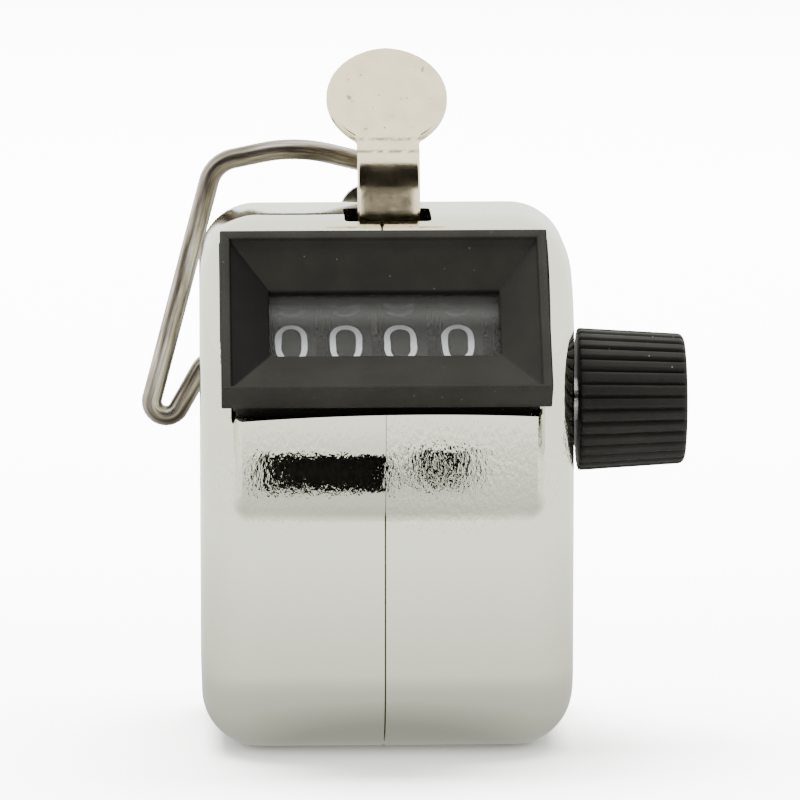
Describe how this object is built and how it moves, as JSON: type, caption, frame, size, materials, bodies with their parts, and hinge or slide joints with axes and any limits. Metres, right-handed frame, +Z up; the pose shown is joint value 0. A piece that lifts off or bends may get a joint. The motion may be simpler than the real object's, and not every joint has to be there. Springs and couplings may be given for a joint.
{
  "type": "hand tally counter",
  "caption": "Palm-sized mechanical tally counter: chromed case, framed window over number wheels, thumb lever, ribbed reset knob and wire finger ring.",
  "frame": {"origin": "on the flat base, under the middle of the casing's width and depth", "axes": "+X towards the reset knob, -Y towards the user who reads the window, +Z up"},
  "size_m": [0.0468, 0.0354, 0.0587],
  "materials": {
    "case_chrome": "bright plated, fine orange peel",
    "bezel_black": "satin moulded",
    "window_clear": "clear moulded plastic",
    "frame_steel": "stamped, zinc plated",
    "fastener_steel": "turned, bright",
    "spring_steel": "drawn wire and strip",
    "bush_brass": "turned",
    "wheel_black": "moulded, satin",
    "knob_black": "moulded, ribbed",
    "lever_nickel": "nickel plated, satin",
    "ring_nickel": "bright nickel plated wire"
  },
  "bodies": {
    "casing": {"left_shell": "case_chrome", "right_shell": "case_chrome", "bezel": "bezel_black", "window_lens": "window_clear", "frame_plate_left": "frame_steel", "frame_plate_right": "frame_steel", "frame_tie_front": "frame_steel", "frame_tie_rear": "frame_steel", "case_bolt": "fastener_steel", "wheel_spacer_left": "bush_brass", "wheel_spacer_right": "bush_brass", "detent_comb": "spring_steel", "comb_screw_left": "fastener_steel", "comb_screw_right": "fastener_steel", "lever_pivot_pin": "fastener_steel", "lever_return_spring": "spring_steel", "ring_bracket": "ring_nickel", "bracket_rivet_left": "fastener_steel", "bracket_rivet_right": "fastener_steel"},
    "reset": {"reset_shaft": "fastener_steel", "reset_knob": "knob_black", "knob_screw": "fastener_steel", "shaft_clip": "spring_steel"},
    "thousands": {"number_wheel_thousands": "wheel_black"},
    "hundreds": {"number_wheel_hundreds": "wheel_black"},
    "tens": {"number_wheel_tens": "wheel_black"},
    "units": {"number_wheel_units": "wheel_black"},
    "lever": {"thumb_lever": "lever_nickel", "pawl_pin": "fastener_steel", "pawl_spring": "spring_steel"},
    "pawl": {"drive_pawl": "frame_steel"},
    "ring": {"finger_ring": "ring_nickel"}
  },
  "joints": [
    {"name": "reset_turn", "type": "hinge", "parent": "casing", "child": "reset", "pos_m": [0, -0.002, 0.02945], "axis": [-1, 0, 0], "continuous": true},
    {"name": "thousands_turn", "type": "hinge", "parent": "reset", "child": "thousands", "pos_m": [0, -0.002, 0.02945], "axis": [-1, 0, 0], "continuous": true},
    {"name": "hundreds_turn", "type": "hinge", "parent": "reset", "child": "hundreds", "pos_m": [0, -0.002, 0.02945], "axis": [-1, 0, 0], "continuous": true},
    {"name": "tens_turn", "type": "hinge", "parent": "reset", "child": "tens", "pos_m": [0, -0.002, 0.02945], "axis": [-1, 0, 0], "continuous": true},
    {"name": "units_turn", "type": "hinge", "parent": "reset", "child": "units", "pos_m": [0, -0.002, 0.02945], "axis": [-1, 0, 0], "range_deg": [0, 36]},
    {"name": "lever_press", "type": "hinge", "parent": "casing", "child": "lever", "pos_m": [0, 0, 0.04075], "axis": [-1, 0, 0], "range_deg": [0, 20], "stiffness_Nm_per_rad": 0.01, "springref_deg": -17.19},
    {"name": "pawl_swing", "type": "hinge", "parent": "lever", "child": "pawl", "pos_m": [0, 0.0103, 0.03695], "axis": [-1, 0, 0], "range_deg": [-41, 0]},
    {"name": "ring_swing", "type": "hinge", "parent": "casing", "child": "ring", "pos_m": [0, 0.016, 0.03945], "axis": [0, 0, -1], "range_deg": [0, 170]}
  ],
  "couplings": [
    {"joint": "units_turn", "follows": "lever_press", "ratio": 1.8},
    {"joint": "pawl_swing", "follows": "lever_press", "ratio": -2.05}
  ]
}
